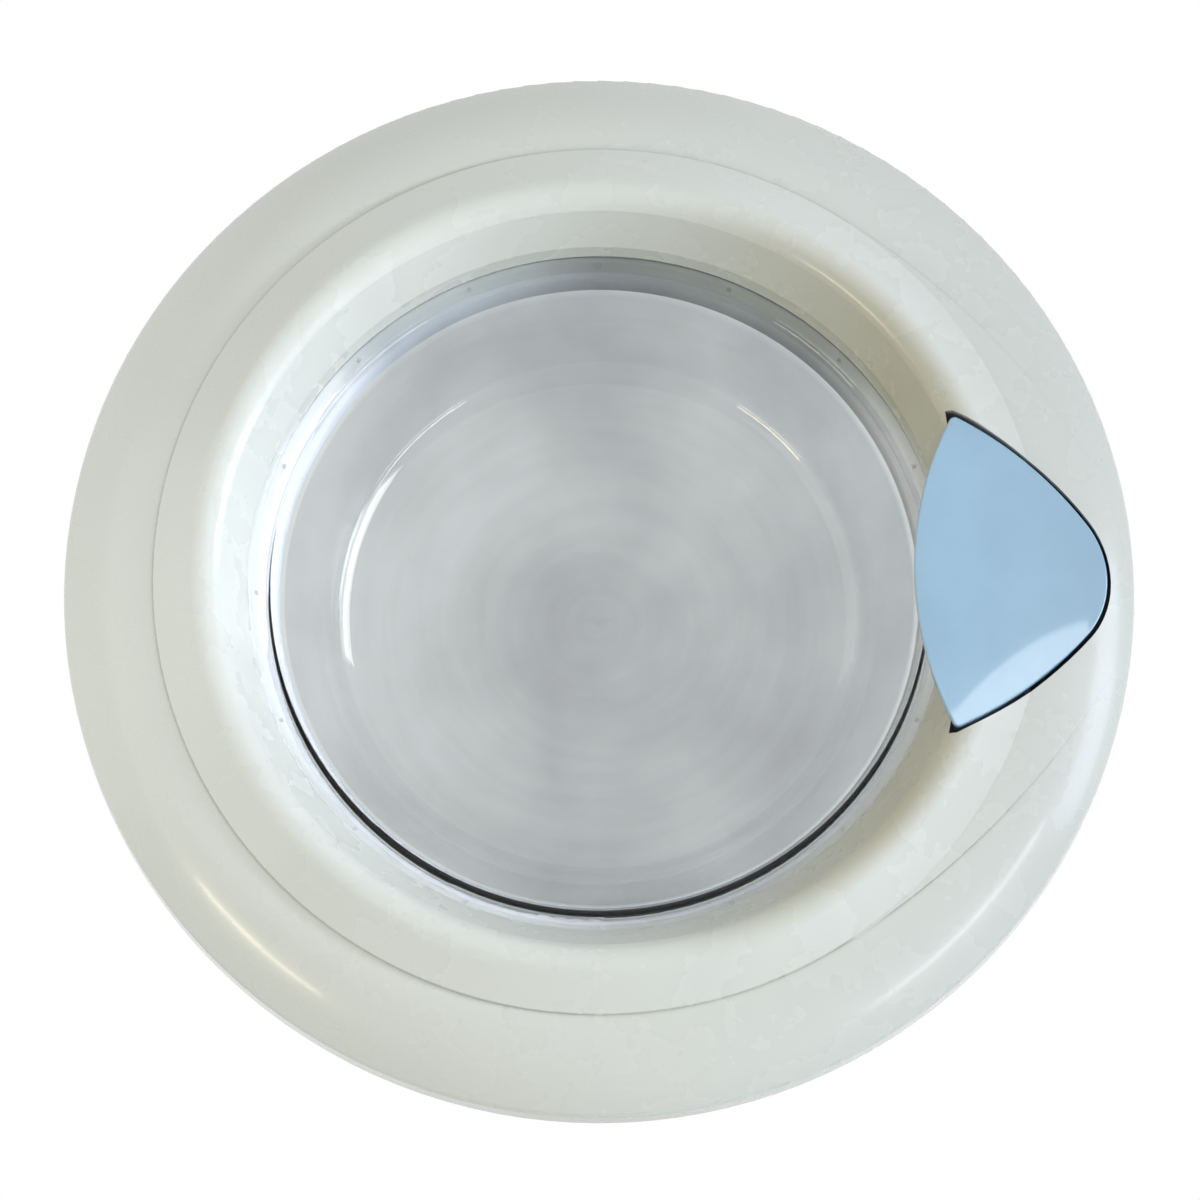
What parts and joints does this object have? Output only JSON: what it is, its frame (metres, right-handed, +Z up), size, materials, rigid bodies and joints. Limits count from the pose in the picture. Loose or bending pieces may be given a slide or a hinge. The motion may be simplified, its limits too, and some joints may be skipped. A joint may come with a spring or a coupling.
{
  "type": "washing machine door",
  "caption": "Round porthole door of a front-loading washing machine: a moulded ring that clamps a glass bowl, with a pull handle, a sprung latch hook and a gooseneck hinge.",
  "frame": {"origin": "Middle of the hinge plate's four bolt holes, on the plate's rear face, which bolts to the machine's front panel.", "axes": "X to the right across the door from the hinge to the handle, Y from the user into the machine, Z up. The door is shut."},
  "size_m": [0.46, 0.098, 0.46],
  "materials": {
    "front_ring": "moulded, glossy off-white",
    "rear_ring": "moulded, satin light grey",
    "bowl_glass": "pressed glass, clear with a slight tint",
    "seal_rubber": "dark moulded rubber",
    "handle_blue": "satin light blue paint on a moulded plastic",
    "housing_plastic": "moulded, dark grey",
    "bright_steel": "drawn and cut steel",
    "spring_steel": "drawn spring wire",
    "hook_metal": "die-cast zinc, as cast",
    "zinc_plate": "zinc-plated pressed steel",
    "screw_steel": "zinc-plated screws",
    "hinge_cast": "die-cast aluminium, fine blasted",
    "bush_plastic": "natural white acetal"
  },
  "bodies": {
    "bracket": {"hinge_bracket": "hinge_cast", "hinge_bush_upper": "bush_plastic", "hinge_bush_lower": "bush_plastic"},
    "door": {"front_frame": "front_ring", "rear_frame": "rear_ring", "glass_bowl": "bowl_glass", "glass_seal": "seal_rubber", "handle_housing": "housing_plastic", "handle_pin": "bright_steel", "hook_pin": "bright_steel", "latch_bracket": "zinc_plate", "latch_screws": "screw_steel", "housing_screws": "screw_steel", "hinge_carrier": "zinc_plate", "hinge_pin": "bright_steel", "hinge_pin_clip": "spring_steel", "hinge_screws": "screw_steel", "frame_screws": "screw_steel"},
    "handle": {"handle": "handle_blue", "handle_spring": "spring_steel"},
    "hook": {"latch_hook": "hook_metal", "hook_spring": "spring_steel"}
  },
  "joints": [
    {"name": "door_swing", "type": "hinge", "parent": "bracket", "child": "door", "pos_m": [-0.02568, -0.027, 0], "axis": [0, 0, -1], "range_deg": [0, 110]},
    {"name": "handle_pull", "type": "hinge", "parent": "door", "child": "handle", "pos_m": [0.38732, -0.039, 0], "axis": [0, 0, 1], "range_deg": [0, 14], "stiffness_Nm_per_rad": 0.6, "springref_deg": -11.46, "deforming": ["handle_spring"]},
    {"name": "hook_release", "type": "hinge", "parent": "door", "child": "hook", "pos_m": [0.36332, -0.024, 0], "axis": [0, 0, -1], "range_deg": [0, 9.2], "stiffness_Nm_per_rad": 0.2, "springref_deg": -11.46, "deforming": ["hook_spring"]}
  ],
  "couplings": [
    {"joint": "hook_release", "follows": "handle_pull", "ratio": 0.65}
  ]
}
